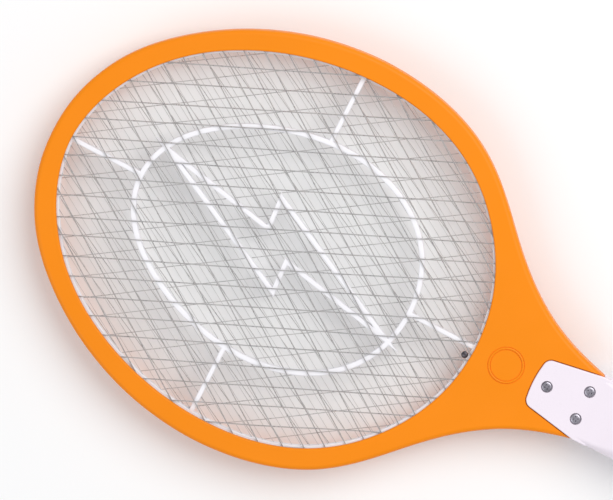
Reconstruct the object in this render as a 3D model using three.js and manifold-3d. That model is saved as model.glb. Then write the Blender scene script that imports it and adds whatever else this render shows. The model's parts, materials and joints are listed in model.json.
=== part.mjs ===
// Electric fly swatter, racket type, two AA cells.
// Millimetres, +Z up. It lies on its rear side: length along X, handle at +X,
// front face up, origin under the middle of the bounding box.
import * as THREE from 'three';
import { mergeVertices } from 'three/addons/utils/BufferGeometryUtils.js';
import Module from 'manifold-3d';

const wasm = await Module();
wasm.setup();

// ---------------------------------------------------------------- dimensions
const MID_Z = 15;              // parting plane of frame and handle
const GAP = 0.15;              // each half stays this far off the parting plane

const HEAD_HALF = 7;           // head is 14 thick
const FACE_EDGE = 2.4;         // rounding of the head's outer edge
const RIM_WALL = 2;            // outer wall of the frame
const FACE_WALL = 1.8;         // face of the frame
const LIP_WIDTH = 1.5;         // inner lip that holds the nets down
const NET_SEAT = 4.2;          // how far the nets reach under the frame

const FRONT_NET_Z = [18.3, 19.1];
const FRONT_SPACER_Z = [15.5, 18.0];
const CENTRE_NET_Z = [14.75, 15.25];
const LIP_Z = 19.4;

const RING_CENTRE_X = -126.5;  // oval ring of the spacer lattice, blunter towards the handle
const RING_A = 73.2, RING_B = 56.1, RING_EGG = 0.032, RING_STRIP = 2.7;
const SPOKE_X = -127.7, SPOKE_STRIP = 2.4;
const RIM_SHOWS = 1.0;         // the spacer's rim stands this far inside the frame's opening
const BOLT_STRIP = 2.4;
const BOLT = [[-68.3, 16.7], [8.7, -21.4], [7.6, -5.1], [68.3, -16.7], [-8.7, 21.4], [-7.6, 5.1]];

// Net families: direction in degrees from +X, pitch between wires, phase.
// The outer nets carry every wire of family A and every second one of family B.
const NET_A = { deg: -34.6, pitch: 9.27, phase: 2.35 };
const NET_B = { deg: 23.9, pitch: 19.23, phase: -1.78 };
const NET_RIB = 1.1;
const CENTRE_DEG = -31.4, CENTRE_PITCH = 7.4, CENTRE_RIB = 0.9;

const TONGUE_X = 12.85, TONGUE_HALF = 12.1;    // front edge of the handle's tongue
const TONGUE_Z = [20.9, 22.8];
const RECESS_Z = 20.5;
const BODY_X = 42.8;                           // where the handle's body starts
const END_X = 250;
const SHELL = 2;
const TAB_END_X = 61, TAB_HALF = 14.6;         // frame's tab inside the handle

const EMBOSS_X = -2.4, EMBOSS_R = 8.3;
const TERMINAL = [-22.5, -4.9];
const TONGUE_SCREWS = [[19.9, 0], [39.5, 7.4], [39.5, -7.4]];
const HANDLE_SCREWS = [[67.5, 10], [67.5, -10], [171, 11.5], [171, -11.5]];
const FRAME_SCREW_AT = [0.10, 0.33, 0.56];     // along each side of the outline

const BUTTON_X = 104, BUTTON_TRAVEL = 1.5;
const LED_X = 87.5;
const BOARD = { x0: 76, x1: 166, half: 12.5, z0: 13.4, z1: 15.0 };
const CELL_R = 7.25, CELL_Y = 7.5, CELL_Z = 10.5;
const COVER_X = 178.3, COVER_Z = 8.0;          // battery cover: its front edge and its top edge
const COVER_END_X = 241.2;                     // past this the cover is the whole rear half of the handle's end

// Outline of the head and neck, half of it: distance along X, half width.
const OUTER = [
  [-250.0, 0], [-248.7, 16.0], [-244.0, 31.6], [-236.5, 46.1], [-226.4, 58.7], [-214.4, 69.7],
  [-201.3, 79.2], [-187.2, 87.3], [-172.3, 93.8], [-156.9, 98.7], [-141.0, 101.8], [-124.9, 103.3],
  [-108.7, 102.8], [-92.6, 100.5], [-77.1, 96.2], [-62.3, 89.6], [-49.0, 80.3], [-37.1, 69.2],
  [-25.9, 57.4], [-14.4, 46.2], [-1.8, 36.1], [12.1, 27.6], [27.0, 21.5], [42.6, 17.1],
];
const INNER = [
  [-240.2, 0], [-237.1, 19.3], [-228.9, 37.6], [-217.0, 53.6], [-202.1, 66.9], [-185.0, 77.2],
  [-166.7, 84.9], [-147.3, 90.0], [-127.5, 92.4], [-107.6, 92.1], [-88.0, 88.6], [-69.4, 81.4],
  [-52.9, 70.3], [-39.1, 55.8], [-28.4, 38.9], [-21.6, 20.1], [-19.0, 0],
];

// ------------------------------------------------------------------- solids
function solid(geometry) {
  const g = geometry.clone();
  for (const name of Object.keys(g.attributes)) if (name !== 'position') g.deleteAttribute(name);
  const m = mergeVertices(g, 1e-4);
  return new wasm.Manifold(new wasm.Mesh({
    numProp: 3,
    vertProperties: new Float32Array(m.attributes.position.array),
    triVerts: new Uint32Array(m.index.array),
  }));
}

function geometryOf(manifold) {
  const mesh = manifold.getMesh();
  const g = new THREE.BufferGeometry();
  const pos = new Float32Array(mesh.numVert * 3);
  for (let i = 0; i < mesh.numVert; i++)
    for (let k = 0; k < 3; k++) pos[3 * i + k] = mesh.vertProperties[i * mesh.numProp + k];
  g.setAttribute('position', new THREE.BufferAttribute(pos, 3));
  g.setIndex(new THREE.BufferAttribute(new Uint32Array(mesh.triVerts), 1));
  g.computeVertexNormals();
  return g;
}

const box = (x0, x1, y0, y1, z0, z1) =>
  solid(new THREE.BoxGeometry(x1 - x0, y1 - y0, z1 - z0).translate((x0 + x1) / 2, (y0 + y1) / 2, (z0 + z1) / 2));

const cyl = (x, y, z0, z1, r, seg = 16, rTop = r) =>
  solid(new THREE.CylinderGeometry(rTop, r, z1 - z0, seg).rotateX(Math.PI / 2).translate(x, y, (z0 + z1) / 2));

function ccw(points) {
  const v = points.map(p => new THREE.Vector2(p[0], p[1]));
  return THREE.ShapeUtils.isClockWise(v) ? v.reverse() : v;
}

const prism = (points, z0, z1) =>
  solid(new THREE.ExtrudeGeometry(new THREE.Shape(ccw(points)), { depth: z1 - z0, bevelEnabled: false, steps: 1 }).translate(0, 0, z0));

// Prism whose two ends are rounded off over `edge`, in `segments` steps.
const roundedPrism = (points, z0, z1, edge, segments = 3) =>
  solid(new THREE.ExtrudeGeometry(new THREE.Shape(ccw(points)), {
    depth: z1 - z0 - 2 * edge, bevelEnabled: true, bevelThickness: edge, bevelSize: edge, bevelOffset: -edge, bevelSegments: segments,
  }).translate(0, 0, z0 + edge));

// Solid of revolution about an axis along Z through x, y; profile is [radius, z] from axis to axis.
const turned = (x, y, profile, seg = 16) =>
  solid(new THREE.LatheGeometry(profile.map(p => new THREE.Vector2(p[0], p[1])), seg).rotateX(Math.PI / 2).translate(x, y, 0));

function rodProfile(x, y, z, profile, seg = 12) {
  return solid(new THREE.LatheGeometry(profile.map(p => new THREE.Vector2(p[0], p[1])), seg).rotateZ(-Math.PI / 2).translate(x, y, z));
}

function tube(points, r, steps, sides = 8) {
  const curve = new THREE.CatmullRomCurve3(points.map(p => new THREE.Vector3(...p)), false, 'centripetal');
  const ring = [];
  for (let i = 0; i < sides; i++) ring.push([r * Math.cos(2 * Math.PI * i / sides), r * Math.sin(2 * Math.PI * i / sides)]);
  return solid(new THREE.ExtrudeGeometry(new THREE.Shape(ccw(ring)), { steps, extrudePath: curve, bevelEnabled: false }));
}

const union = list => list.reduce((a, b) => a.add(b));
const mirrorZ = m => m.mirror([0, 0, 1]).translate([0, 0, 2 * MID_Z]);

// ---------------------------------------------------------------- outlines
function halfCurve(knots, n) {
  // Knots mirrored past the axis give a smooth closed end at the first knot.
  const pts = [[knots[1][0], -knots[1][1]], ...knots].map(p => new THREE.Vector3(p[0], p[1], 0));
  const curve = new THREE.CatmullRomCurve3(pts, false, 'centripetal');
  const fine = [];
  const start = 1 / (pts.length - 1);
  for (let i = 0; i <= 1200; i++) fine.push(curve.getPoint(start + (1 - start) * i / 1200));
  const len = [0];
  for (let i = 1; i < fine.length; i++) len.push(len[i - 1] + fine[i].distanceTo(fine[i - 1]));
  const out = [];
  for (let i = 0, j = 0; i <= n; i++) {
    const want = len[len.length - 1] * i / n;
    while (j < len.length - 2 && len[j + 1] < want) j++;
    const t = (want - len[j]) / (len[j + 1] - len[j]);
    out.push([fine[j].x + t * (fine[j + 1].x - fine[j].x), fine[j].y + t * (fine[j + 1].y - fine[j].y)]);
  }
  out[0][1] = 0;
  return out;
}

const both = half => [...half, ...half.slice(1).filter(p => p[1] > 1e-6).reverse().map(p => [p[0], -p[1]])];

// Offset of a closed outline; positive d goes inwards on a counter-clockwise one.
function inset(points, d) {
  const v = ccw(points), n = v.length, out = [];
  for (let i = 0; i < n; i++) {
    const a = v[(i + n - 1) % n], b = v[i], c = v[(i + 1) % n];
    const u = new THREE.Vector2().subVectors(b, a).normalize(), w = new THREE.Vector2().subVectors(c, b).normalize();
    const n1 = [-u.y, u.x], n2 = [-w.y, w.x];
    const k = d / (1 + n1[0] * n2[0] + n1[1] * n2[1]);
    out.push([b.x + k * (n1[0] + n2[0]), b.y + k * (n1[1] + n2[1])]);
  }
  return out;
}

const outerHalf = halfCurve(OUTER, 27);
outerHalf[27] = [BODY_X - 0.3, 17.1];
const headOutline = both([...outerHalf]);
const frameOutline = both([...outerHalf, [BODY_X - 0.3, TAB_HALF], [TAB_END_X, TAB_HALF]]);
const innerHalf = halfCurve(INNER, 21);
innerHalf[21][1] = 0;
const innerOutline = both(innerHalf);

function tongueOutline(grow = 0, back = 58) {
  const pts = [];
  const half = x => TONGUE_HALF + (x - TONGUE_X) * (17.1 - TONGUE_HALF) / (BODY_X - TONGUE_X);
  pts.push([TONGUE_X - grow, 0], [TONGUE_X + 0.15 - grow, 4], [TONGUE_X + 0.6 - grow, 7.8]);
  const cx = TONGUE_X + 5.0, cy = 8.4, r = 4.3 + grow;
  for (const deg of [172, 150, 125, 98]) pts.push([cx + r * Math.cos(deg * Math.PI / 180), cy + r * Math.sin(deg * Math.PI / 180)]);
  pts.push([BODY_X, half(BODY_X) + grow], [back, 17.0 + grow]);
  return both(pts);
}

// ------------------------------------------------------------------- frame
const embossRing = solid(new THREE.LatheGeometry([
  new THREE.Vector2(EMBOSS_R - 0.5, -1), new THREE.Vector2(EMBOSS_R + 0.5, -1), new THREE.Vector2(EMBOSS_R, 0.3),
  new THREE.Vector2(EMBOSS_R - 0.5, -1)], 20).rotateX(Math.PI / 2).translate(EMBOSS_X, 0, MID_Z + HEAD_HALF));

const frameScrewSpots = [];
{
  const wall = halfCurve(OUTER, 200);
  for (const t of FRAME_SCREW_AT) {
    const i = Math.round(t * 200), a = wall[i - 1], b = wall[i + 1];
    const u = [b[0] - a[0], b[1] - a[1]], l = Math.hypot(...u);
    const p = [wall[i][0] + 3.7 * u[1] / l, wall[i][1] - 3.7 * u[0] / l];
    frameScrewSpots.push(p, [p[0], -p[1]]);
  }
}

function frameHalf(front) {
  const top = MID_Z + HEAD_HALF, low = MID_Z + GAP;
  let body = roundedPrism(headOutline, MID_Z - HEAD_HALF, top, FACE_EDGE, 1);
  body = body.add(box(BODY_X - 4, TAB_END_X, -TAB_HALF, TAB_HALF, MID_Z - 5.5, RECESS_Z));
  const opening = prism(innerOutline, MID_Z - 20, MID_Z + 20);
  const bevel = prism(inset(innerOutline, -0.8), top - 0.45, top + 1);
  // hollow of the ring and neck, with the lip left standing round the opening
  let hollow = prism(inset(frameOutline, RIM_WALL), MID_Z - 1, top - FACE_WALL);
  const lip = prism(inset(innerOutline, -LIP_WIDTH), LIP_Z, top).subtract(opening);
  hollow = hollow.subtract(lip);
  // floor of the tongue's recess
  const plate = prism([[TONGUE_X - 2.5, -40], [70, -40], [70, 40], [TONGUE_X - 2.5, 40]], RECESS_Z - 1.7, top);
  hollow = hollow.subtract(plate);
  body = body.subtract(opening).subtract(bevel).subtract(hollow);
  body = body.subtract(prism(tongueOutline(0.5, 75), RECESS_Z, top + 2));
  // screw posts round the ring
  for (const [x, y] of frameScrewSpots) {
    body = body.add(cyl(x, y, low, top - FACE_WALL + 0.4, 2.1, 8));
    body = body.subtract(cyl(x, y, low - 1, front ? top - FACE_WALL - 0.6 : top + 1, 1.15, 8));
    if (!front) body = body.subtract(cyl(x, y, top - 1.7, top + 1, 2.2, 10));
  }
  // clearance for the tongue's screws and posts
  for (const [x, y] of TONGUE_SCREWS) body = body.subtract(cyl(x, y, RECESS_Z - 3, RECESS_Z + 1, front ? 1.7 : 3.4, 10));
  // way out for the leads at the end of the tab
  body = body.subtract(box(TAB_END_X - 3, TAB_END_X + 1, -10.5, 10.5, MID_Z - 1, RECESS_Z - 1.7));
  body = body.subtract(box(-260, 80, -120, 120, MID_Z - 20, low));
  if (front) body = body.add(embossRing);
  return body;
}

// --------------------------------------------------------------------- nets
const netOutline = inset(innerOutline, -(NET_SEAT - 0.2));
const netRimInner = inset(innerOutline, -1.9);
const headWindow = (z0, z1) => prism(netRimInner, z0, z1);

// Cells between two families of wires, as upright prisms inside the rim.
function diamondCells(fa, fb, rib) {
  const dir = f => [Math.cos(f.deg * Math.PI / 180), Math.sin(f.deg * Math.PI / 180)];
  const da = dir(fa), db = dir(fb);
  const na = [-da[1], da[0]], nb = [-db[1], db[0]];
  const det = na[0] * nb[1] - na[1] * nb[0];
  const cross = (qa, qb) => [(qa * nb[1] - qb * na[1]) / det + SPOKE_X, (qb * na[0] - qa * nb[0]) / det];
  const geos = [];
  const rows = Math.ceil(128 / fa.pitch), cols = Math.ceil(128 / fb.pitch);
  for (let i = -rows; i <= rows; i++) for (let j = -cols; j <= cols; j++) {
    const a0 = fa.phase + i * fa.pitch + rib / 2, a1 = a0 + fa.pitch - rib;
    const b0 = fb.phase + j * fb.pitch + rib / 2, b1 = b0 + fb.pitch - rib;
    const c = [cross(a0, b0), cross(a1, b0), cross(a1, b1), cross(a0, b1)];
    if (c.every(p => Math.hypot((p[0] + 129.6) / 121, p[1] / 105) > 1)) continue;
    geos.push(c);
  }
  return geos;
}

function perforated(cells, z0, z1) {
  let net = prism(netOutline, z0, z1);
  let holes = null;
  const all = cells.map(c => prism(c, z0 - 1, z1 + 1));
  // neighbouring cells never touch, so they join as one many-bodied solid
  holes = wasm.Manifold.compose ? wasm.Manifold.compose(all) : union(all);
  return net.subtract(holes.intersect(headWindow(z0 - 2, z1 + 2)));
}

const mirrored = f => ({ deg: -f.deg, pitch: f.pitch, phase: f.phase });
const netTab = (y, z0, z1) => box(-17.5, -10, y - 2, y + 2, z0, z1);
const frontNet = perforated(diamondCells(NET_A, NET_B, NET_RIB), ...FRONT_NET_Z).add(netTab(7, ...FRONT_NET_Z));
const rearNet = perforated(diamondCells(mirrored(NET_A), mirrored(NET_B), NET_RIB), 2 * MID_Z - FRONT_NET_Z[1], 2 * MID_Z - FRONT_NET_Z[0])
  .add(netTab(-7, 2 * MID_Z - FRONT_NET_Z[1], 2 * MID_Z - FRONT_NET_Z[0]));

function centreNetSolid() {
  const t = CENTRE_DEG * Math.PI / 180, d = [Math.cos(t), Math.sin(t)], n = [-d[1], d[0]];
  const cells = [];
  for (let k = -17; k <= 17; k++) {
    const q0 = k * CENTRE_PITCH + CENTRE_RIB / 2, q1 = q0 + CENTRE_PITCH - CENTRE_RIB;
    if (Math.abs(q0) > 118 || Math.abs(q1) > 118) continue;
    const P = (q, s) => [-129.6 + q * n[0] + s * d[0], q * n[1] + s * d[1]];
    cells.push([P(q0, -160), P(q0, 160), P(q1, 160), P(q1, -160)]);
  }
  return perforated(cells, ...CENTRE_NET_Z).add(netTab(0, ...CENTRE_NET_Z));
}

// ------------------------------------------------------------------ spacers
function strip(points, width, z0, z1, closed = true) {
  if (closed) return prism(inset(points, -width / 2), z0, z1).subtract(prism(inset(points, width / 2), z0 - 1, z1 + 1));
  const [[x0, y0], [x1, y1]] = points;
  const l = Math.hypot(x1 - x0, y1 - y0), n = [-(y1 - y0) / l * width / 2, (x1 - x0) / l * width / 2];
  return prism([[x0 + n[0], y0 + n[1]], [x0 - n[0], y0 - n[1]], [x1 - n[0], y1 - n[1]], [x1 + n[0], y1 + n[1]]], z0, z1);
}

function spacer(z0, z1) {
  const ring = [];
  for (let i = 0; i < 36; i++) {
    const a = i * Math.PI / 18, k = 1 - RING_EGG * Math.cos(3 * a);
    ring.push([RING_CENTRE_X + k * RING_A * Math.cos(a), k * RING_B * Math.sin(a)]);
  }
  const rim = prism(inset(innerOutline, -NET_SEAT), z0, z1).subtract(prism(inset(innerOutline, RIM_SHOWS), z0 - 1, z1 + 1));
  const y1 = 96, bolt = BOLT.map(p => [p[0] + SPOKE_X, p[1]]);
  let s = rim.add(strip(ring, RING_STRIP, z0, z1)).add(strip(bolt, BOLT_STRIP, z0, z1));
  for (const line of [
    [[RING_CENTRE_X - RING_A * (1 + RING_EGG), 0], [-242, 0]], [[RING_CENTRE_X + RING_A * (1 - RING_EGG), 0], [-17, 0]],
    [[SPOKE_X, RING_B], [SPOKE_X, y1]], [[SPOKE_X, -RING_B], [SPOKE_X, -y1]]])
    s = s.add(strip(line, SPOKE_STRIP, z0, z1, false));
  return s;
}

// ------------------------------------------------------------------- handle
// Stations along X: half width, half height, corner radius.
const STATIONS = [
  [BODY_X, 17.1, 7.8, 2.6], [52, 16.9, 9.2, 3.6], [62, 16.7, 12.3, 6.4], [70, 16.7, 14.2, 8.6],
  [78, 16.9, 15, 10], [120, 17.6, 15, 10], [170, 18.5, 15, 10], [241.5, 18.5, 15, 10],
  [246, 17.3, 14.4, 9.8], [249, 14.9, 12.8, 8.8], [END_X, 12.4, 11, 7.6],
];

function sectionPoints(w, h, r, n = 3) {
  const p = [[-w, 0]];
  for (let i = 0; i <= n; i++) { const a = Math.PI - i * Math.PI / 2 / n; p.push([-w + r + r * Math.cos(a), h - r + r * Math.sin(a)]); }
  for (let i = 0; i <= n; i++) { const a = Math.PI / 2 - i * Math.PI / 2 / n; p.push([w - r + r * Math.cos(a), h - r + r * Math.sin(a)]); }
  p.push([w, 0]);
  return p;
}

function loft(stations, z0) {
  const rings = stations.map(([x, w, h, r]) => sectionPoints(w, h, r).map(([y, z]) => new THREE.Vector3(x, y, z0 + z)));
  const n = rings[0].length, pos = [], idx = [];
  for (const ring of rings) for (const v of ring) pos.push(v.x, v.y, v.z);
  for (let s = 0; s < rings.length - 1; s++) for (let i = 0; i < n; i++) {
    const a = s * n + i, b = s * n + (i + 1) % n, c = a + n, d = b + n;
    idx.push(a, b, d, a, d, c);
  }
  const last = (rings.length - 1) * n;
  // end caps, each turned to meet the side faces edge to edge
  for (const [ring, base, flip] of [[rings[0], 0, true], [rings[rings.length - 1], last, false]]) {
    const flat = ring.map(v => new THREE.Vector2(v.y, v.z));
    const turn = Math.sign(THREE.ShapeUtils.area(flat));
    for (const [a, b, c] of THREE.ShapeUtils.triangulateShape(flat, [])) {
      const same = Math.sign(THREE.ShapeUtils.area([flat[a], flat[b], flat[c]])) === turn;
      if (same !== flip) idx.push(base + a, base + b, base + c);
      else idx.push(base + a, base + c, base + b);
    }
  }
  const build = order => {
    const g = new THREE.BufferGeometry();
    g.setAttribute('position', new THREE.Float32BufferAttribute(pos, 3));
    g.setIndex(order);
    return solid(g);
  };
  const m = build(idx);
  if (m.volume() > 0) return m;
  const turned = [];
  for (let i = 0; i < idx.length; i += 3) turned.push(idx[i], idx[i + 2], idx[i + 1]);
  return build(turned);
}

const outerLoft = loft(STATIONS, MID_Z);
const innerStations = STATIONS.filter(s => s[0] < 245).map(([x, w, h, r]) => [x, w - SHELL, h - SHELL, Math.max(1, r - SHELL)]);
innerStations[0][0] = BODY_X - 2;
innerStations.push([245.4, 15.4, 12.5, 7.9], [END_X - SHELL, 12.4, 10.6, 6.4]);
const innerLoft = loft(innerStations, MID_Z - 0.001);

function shellHalf() {
  let s = outerLoft.subtract(innerLoft.add(box(BODY_X - 2, 246, -14.6, 14.6, MID_Z - 5, MID_Z + 0.5)));
  // tongue over the neck
  const tongue = roundedPrism(tongueOutline(0, 54), TONGUE_Z[0], TONGUE_Z[1], 0.5, 1);
  s = s.add(tongue.subtract(box(49.5, 60, -30, 30, 0, 40)));
  s = s.subtract(box(0, 260, -40, 40, -5, MID_Z + GAP));
  return s;
}

const stadium = (cx, cy, length, width, n = 5) => {
  const r = width / 2, a = length / 2 - r, pts = [];
  for (let i = 0; i <= n; i++) { const t = -Math.PI / 2 + i * Math.PI / n; pts.push([cx + a + r * Math.cos(t), cy + r * Math.sin(t)]); }
  for (let i = 0; i <= n; i++) { const t = Math.PI / 2 + i * Math.PI / n; pts.push([cx - a + r * Math.cos(t), cy + r * Math.sin(t)]); }
  return pts;
};

function frontShell() {
  let s = shellHalf();
  for (const [x, y] of TONGUE_SCREWS) {
    s = s.subtract(cyl(x, y, 15, 30, 1.6, 10));
    s = s.subtract(cyl(x, y, TONGUE_Z[1] - 1.1, 30, 2.9, 12));
  }
  s = s.subtract(prism(stadium(BUTTON_X, 0, 17, 11.6), 20, 35));
  s = s.subtract(cyl(LED_X, 0, 20, 35, 2.8, 16));
  // posts for the handle screws
  for (const [x, y] of HANDLE_SCREWS) s = s.add(cyl(x, y, MID_Z + 0.3, x < 100 ? MID_Z + 12.0 : MID_Z + 12.4, 2.9, 10));
  for (const [x, y] of HANDLE_SCREWS) s = s.subtract(cyl(x, y, MID_Z, MID_Z + 9, 1.5, 8));
  return s;
}

function rearShellAndCover() {
  const whole = mirrorZ(shellHalf());
  const coverZone = box(COVER_X, 260, -40, 40, -5, COVER_Z).add(box(COVER_END_X, 260, -40, 40, -5, 30));
  const cutZone = box(COVER_X - 0.3, 260, -40, 40, -5, COVER_Z + 0.3).add(box(COVER_END_X - 0.3, 260, -40, 40, -5, 30));
  let cover = whole.intersect(coverZone);
  // side rails that reach up inside the rear shell, and grip grooves under the thumb
  for (const side of [1, -1]) {
    const y0 = side > 0 ? 15.2 : -15.9, y1 = side > 0 ? 15.9 : -15.2;
    cover = cover.add(box(COVER_X + 4, COVER_END_X + 2, y0, y1, 5.0, 10.5));
  }
  for (let i = 0; i < 5; i++) cover = cover.subtract(box(188 + i * 4, 189.6 + i * 4, -7, 7, -1, 0.7));

  let s = whole.subtract(cutZone);
  // battery tub: end walls, roof and the side walls above the rails
  const tub = union([
    box(176.4, 178.0, -16.7, 16.7, 1.5, 19.8).intersect(box(170, 260, -30, 30, 1.5, 14.85).intersect(mirrorZ(outerLoft)).add(box(170, 260, -16.1, 16.1, 14.0, 19.8))),
    box(238.7, 240.2, -14.9, 14.9, COVER_Z + 0.3, 12), box(238.7, 240.2, -16.1, 16.1, 11.0, 19.8),
    box(176.4, 240.2, -16.1, 16.1, 18.3, 19.8),
    box(176.4, 240.2, 15.1, 16.1, 11.0, 19.8), box(176.4, 240.2, -16.1, -15.1, 11.0, 19.8),
    box(178.0, 240.2, 15.1, 17.0, 11.0, 14.85), box(178.0, 240.2, -17.0, -15.1, 11.0, 14.85),
  ]);
  s = s.add(tub);
  for (const y of [CELL_Y, -CELL_Y]) s = s.subtract(box(176, 178.4, y - 1.7, y + 1.7, 11.6, 14.4));
  // posts and counterbores for the handle screws
  for (const [x, y] of HANDLE_SCREWS) {
    s = s.add(cyl(x, y, x < 100 ? 3.4 : 1.2, MID_Z - 0.3, 3.7, 10));
    s = s.subtract(cyl(x, y, -2, 6.0, 2.95, 12)).subtract(cyl(x, y, -2, 16, 1.5, 8));
  }
  // posts that carry the tongue's screws through the neck
  for (const [x, y] of TONGUE_SCREWS) s = s.add(cyl(x, y, 8.0, 17.4, 3.0, 10)).subtract(cyl(x, y, 9.4, 18, 1.5, 8));
  // ribs under the circuit board
  for (const x of [82, 122, 158]) s = s.add(box(x, x + 1.6, -12, 12, 1.0, BOARD.z0 - 0.3));
  return [s, cover];
}

// ---------------------------------------------------------------- fasteners
// Pan-head self-tapping screw, head at zHead, shank ending at shankLow.
function screw(x, y, zHead, headH, headR, shankLow, shankR, up = true) {
  const s = up ? 1 : -1;
  return cyl(x, y, Math.min(zHead, zHead + s * headH), Math.max(zHead, zHead + s * headH), headR, 12)
    .add(cyl(x, y, Math.min(shankLow, zHead + s * 0.2), Math.max(shankLow, zHead + s * 0.2), shankR, 6));
}

// --------------------------------------------------------------- assembly
const COLOURS = {
  orange: { color: 0xf78f1e, roughness: 0.38, metalness: 0 },
  white: { color: 0xf4f0f6, roughness: 0.35, metalness: 0 },
  lattice: { color: 0xf1eef5, roughness: 0.45, metalness: 0 },
  wire: { color: 0xb9bbc0, roughness: 0.35, metalness: 1 },
  steel: { color: 0x9a9aa0, roughness: 0.35, metalness: 1 },
  spring: { color: 0xc9c9cd, roughness: 0.3, metalness: 1 },
  board: { color: 0xa47c3c, roughness: 0.6, metalness: 0 },
  ferrite: { color: 0x3a3a3e, roughness: 0.7, metalness: 0 },
  coil: { color: 0xc9a227, roughness: 0.5, metalness: 0 },
  capacitor: { color: 0x7b2f1d, roughness: 0.4, metalness: 0 },
  black: { color: 0x202022, roughness: 0.5, metalness: 0 },
  resistor: { color: 0xd2b48c, roughness: 0.6, metalness: 0 },
  led: { color: 0xc82020, roughness: 0.15, metalness: 0 },
  cell: { color: 0x2b4c7e, roughness: 0.4, metalness: 0.2 },
  nickel: { color: 0xc8c4b8, roughness: 0.3, metalness: 1 },
  redLead: { color: 0xb3261e, roughness: 0.5, metalness: 0 },
  blackLead: { color: 0x1d1d1f, roughness: 0.5, metalness: 0 },
};

const model = new THREE.Group();
function add(name, manifold, colour) {
  const mesh = new THREE.Mesh(geometryOf(manifold), new THREE.MeshStandardMaterial(COLOURS[colour]));
  mesh.name = name;
  model.add(mesh);
}

add('front_frame', frameHalf(true), 'orange');
add('rear_frame', mirrorZ(frameHalf(false)), 'orange');
add('front_net', frontNet, 'wire');
add('centre_net', centreNetSolid(), 'wire');
add('rear_net', rearNet, 'wire');
add('front_spacer', spacer(...FRONT_SPACER_Z), 'lattice');
add('rear_spacer', spacer(2 * MID_Z - FRONT_SPACER_Z[1], 2 * MID_Z - FRONT_SPACER_Z[0]), 'lattice');
add('front_net_terminal', turned(...TERMINAL, [[0, 19.4], [1.7, 19.4], [1.5, 20.4], [0, 20.4]], 14), 'steel');

add('handle_front_shell', frontShell(), 'white');
const [rearShell, cover] = rearShellAndCover();
add('handle_rear_shell', rearShell, 'white');
add('battery_cover', cover, 'white');

// push button: cap, flange under the shell, stem
add('push_button', union([
  roundedPrism(stadium(BUTTON_X, 0, 16, 10.6), 26.4, 31.5, 0.6, 1),
  prism(stadium(BUTTON_X, 0, 20, 14.6), 26.2, 27.6),
  cyl(BUTTON_X, 0, 22.2, 26.6, 2.0, 14)]), 'orange');
add('switch_plunger', cyl(BUTTON_X, 0, 18.1, 21.9, 1.7, 14), 'black');
add('switch_body', box(BUTTON_X - 6, BUTTON_X + 6, -6, 6, 15.3, 19.2).subtract(cyl(BUTTON_X, 0, 16.2, 20, 2.1, 14)), 'black');
add('button_spring', cyl(BUTTON_X, 0, 19.5, 25.9, 3.9, 16).subtract(cyl(BUTTON_X, 0, 18, 27, 3.0, 16)), 'spring');
add('indicator_led', turned(LED_X, 0, [[0, 24.4], [2.9, 24.4], [2.9, 25.4], [2.5, 25.4], [2.5, 28.6], [1.8, 30.3], [0, 31.0]], 12), 'led');
add('led_spacer', cyl(LED_X, 0, 15.3, 24.1, 2.6, 14).subtract(cyl(LED_X, 0, 14, 25, 1.7, 14)), 'white');

// circuit board and what it carries
add('circuit_board', box(BOARD.x0, BOARD.x1, -BOARD.half, BOARD.half, BOARD.z0, BOARD.z1), 'board');
add('transformer_core', box(141, 157, -3, 3, 15.3, 27.0).subtract(box(144, 154, -4, 4, 17.8, 24.5)), 'ferrite');
add('transformer_coil', roundedPrism([[144.3, -7], [153.7, -7], [153.7, 7], [144.3, 7]], 18.1, 24.2, 0.8, 1), 'coil');
add('hv_capacitor', roundedPrism([[124.5, -9], [131.5, -9], [131.5, 9], [124.5, 9]], 15.3, 26.5, 1.0, 1), 'capacitor');
const diode = [[0, -5.6], [0.35, -5.6], [0.35, -2.6], [1.35, -2.6], [1.35, 2.6], [0.35, 2.6], [0.35, 5.6], [0, 5.6]];
add('diode_1', rodProfile(92, 9.4, 16.8, diode, 8), 'black');
add('diode_2', rodProfile(105, 9.4, 16.8, diode, 8), 'black');
add('diode_3', rodProfile(118, 9.4, 16.8, diode, 8), 'black');
const resistor = [[0, -6.2], [0.3, -6.2], [0.3, -3.2], [1.1, -3.0], [1.1, 3.0], [0.3, 3.2], [0.3, 6.2], [0, 6.2]];
add('charge_resistor', rodProfile(94, -9.4, 16.6, resistor, 8), 'resistor');
add('bleed_resistor', rodProfile(110, -9.4, 16.6, resistor, 8), 'resistor');
add('switching_transistor', union([box(160.2, 163.4, -4, 4, 18.0, 26.5), box(161.5, 162.1, -3.0, -2.3, 15.3, 18.2), box(161.5, 162.1, -0.35, 0.35, 15.3, 18.2), box(161.5, 162.1, 2.3, 3.0, 15.3, 18.2)]), 'black');

// cells and contacts
const cellProfile = [[0, 0], [2.75, 0], [2.75, 1.2], [6.6, 1.2], [CELL_R, 2.0], [CELL_R, 49.7], [6.8, 50.5], [0, 50.5]];
add('aa_cell_1', solid(new THREE.LatheGeometry(cellProfile.map(p => new THREE.Vector2(p[0], p[1])), 20).rotateZ(-Math.PI / 2).translate(179.8, CELL_Y, CELL_Z)), 'cell');
add('aa_cell_2', solid(new THREE.LatheGeometry(cellProfile.map(p => new THREE.Vector2(p[0], p[1])), 20).rotateZ(Math.PI / 2).translate(237.2, -CELL_Y, CELL_Z)), 'cell');
const contactPlate = (x0, x1, y0, y1) => box(x0, x1, y0, y1, 5.5, 16);
const springCone = (x0, x1, y, r0, r1) =>
  solid(new THREE.CylinderGeometry(r1, r0, x1 - x0, 14).rotateZ(-Math.PI / 2).translate((x0 + x1) / 2, y, CELL_Z));
add('positive_contact', contactPlate(178.7, 179.3, CELL_Y - 5.5, CELL_Y + 5.5).add(box(175.4, 179, CELL_Y - 1.3, CELL_Y + 1.3, 12, 14)), 'nickel');
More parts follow.
